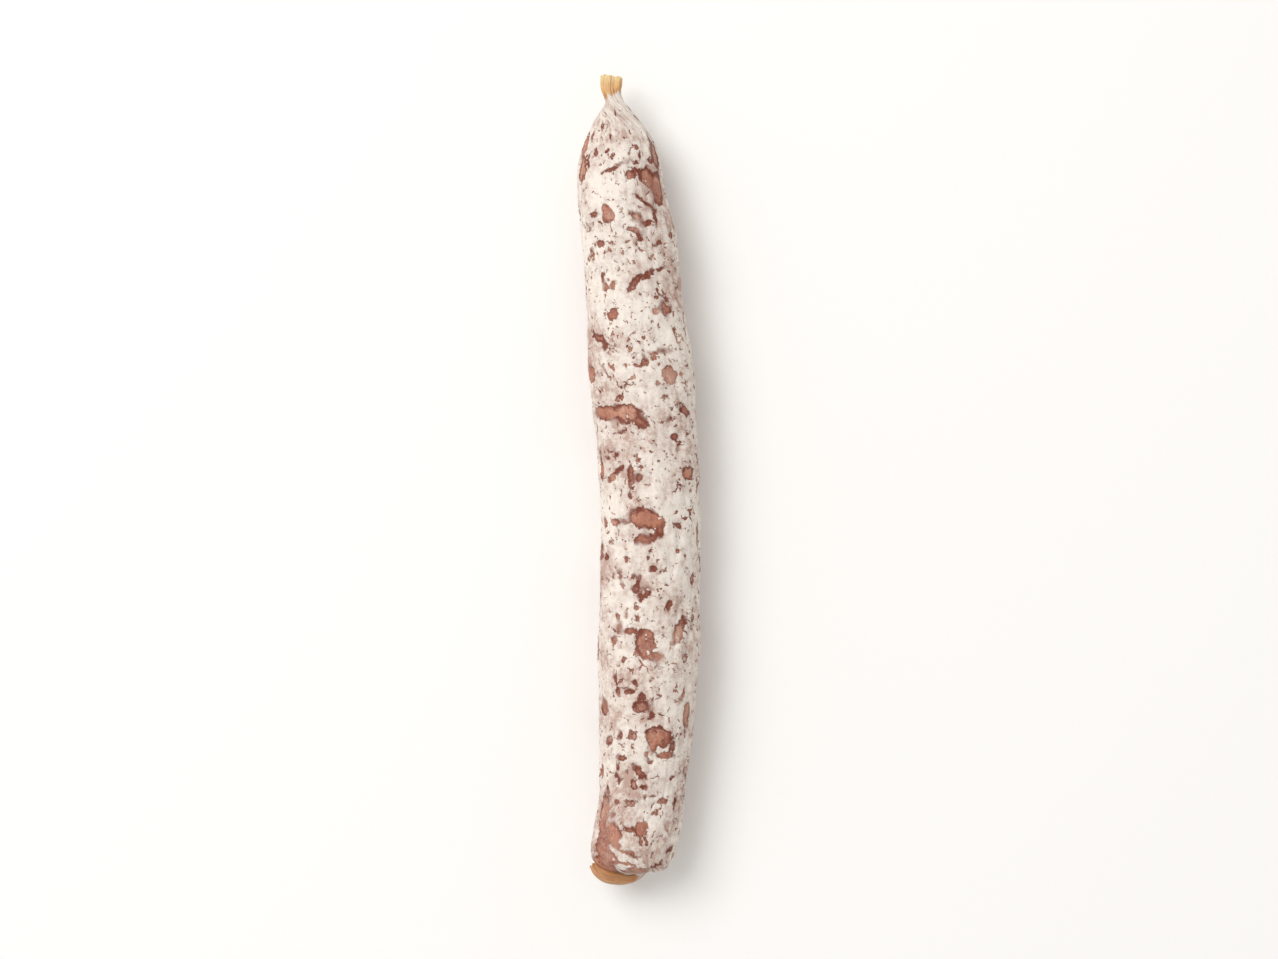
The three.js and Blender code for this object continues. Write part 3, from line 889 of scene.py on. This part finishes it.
evaluated = rings_object.evaluated_get(bpy.context.evaluated_depsgraph_get())
sausage_mesh = bpy.data.meshes.new_from_object(evaluated)
sausage_mesh.name = "salami_stick"
sausage_mesh.materials.pop(index=0)  # Set Material leaves an empty slot before its own
for helper in (rings_object, flakes_object):
    bpy.data.objects.remove(helper)
print("the skin has", len(sausage_mesh.polygons), "faces")

# %% Centre it in the CAD solid's box
spots = np.empty(len(sausage_mesh.vertices) * 3, dtype=np.float32)
sausage_mesh.vertices.foreach_get("co", spots)
spots = spots.reshape(-1, 3)
node_low, node_high = [np.array(corner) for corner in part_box("sausage")]
shift = (node_low + node_high - spots.min(axis=0) - spots.max(axis=0)) / 2
shift[2] = node_low[2] - spots[:, 2].min()
spots += shift
sausage_mesh.vertices.foreach_set("co", spots.ravel())
sausage_mesh.update()
sausage = bpy.data.objects.new("salami_stick", sausage_mesh)
bpy.context.scene.collection.objects.link(sausage)
print("moved by", (shift / MM).round(2), "mm, to fill", (np.ptp(spots, axis=0) / MM).round(1), "mm")

# %% Take the CAD solid's place
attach(sausage, "root")
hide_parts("sausage")
print(sausage.name, "stands for the CAD node")

# %% [markdown]
# ## The stage
#
# A plain pale floor, wide enough that its edge is never seen, and light as soft as a studio's:
# a bright room, with one large lamp above and to the side of the pointed end.

# %% Floor
FLOOR_SIDE = 8.0
floor_mesh = bpy.data.meshes.new("floor")
half = FLOOR_SIDE / 2
corners = [(-half, -half, 0), (half, -half, 0), (half, half, 0), (-half, half, 0)]
floor_mesh.from_pydata(corners, [], [(0, 1, 2, 3)])
floor = bpy.data.objects.new("floor", floor_mesh)
bpy.context.scene.collection.objects.link(floor)
board = bpy.data.materials.new("matt white board")
board.use_nodes = True
board_shader = board.node_tree.nodes["Principled BSDF"]
board_shader.inputs["Base Color"].default_value = linear("#faf9f7")
board_shader.inputs["Roughness"].default_value = 0.9
floor_mesh.materials.append(board)
print("the floor is", FLOOR_SIDE, "m square")

# %% Light
world = bpy.data.worlds.new("bright room")
bpy.context.scene.world = world
world.use_nodes = True
world.node_tree.nodes["Background"].inputs["Color"].default_value = linear("#fffdfa")
world.node_tree.nodes["Background"].inputs["Strength"].default_value = 0.62
lamp_data = bpy.data.lights.new("soft box", "AREA")
lamp_data.shape = "SQUARE"
lamp_data.size = 0.7
lamp_data.energy = 9.0
lamp = bpy.data.objects.new("soft box", lamp_data)
lamp.location = (0.45, 0.55, 1.0)
lamp.rotation_euler = (-lamp.location).to_track_quat("-Z", "Y").to_euler()
bpy.context.scene.collection.objects.link(lamp)
bpy.context.scene.view_settings.view_transform = "Standard"
print("one lamp of", lamp_data.energy, "W")

# %% [markdown]
# The sausage is looked at from straight above, through a long lens, with its pointed end at
# the top of the picture.

# %% Camera
PICTURE = (1278, 959)
FILL = 0.86  # of the picture's height that the sausage takes up
camera_data = bpy.data.cameras.new("camera")
camera_data.lens = 85
camera = bpy.data.objects.new("camera", camera_data)
picture_height = (cad_high[0] - cad_low[0]) / FILL
distance = picture_height * camera_data.lens / (camera_data.sensor_width * PICTURE[1] / PICTURE[0])
camera.location = (0, 0, cad_high[2] + distance)
camera.rotation_euler = (0, 0, -math.pi / 2)
bpy.context.scene.collection.objects.link(camera)
bpy.context.scene.camera = camera
print("the camera is", round(distance, 3), "m above the sausage")
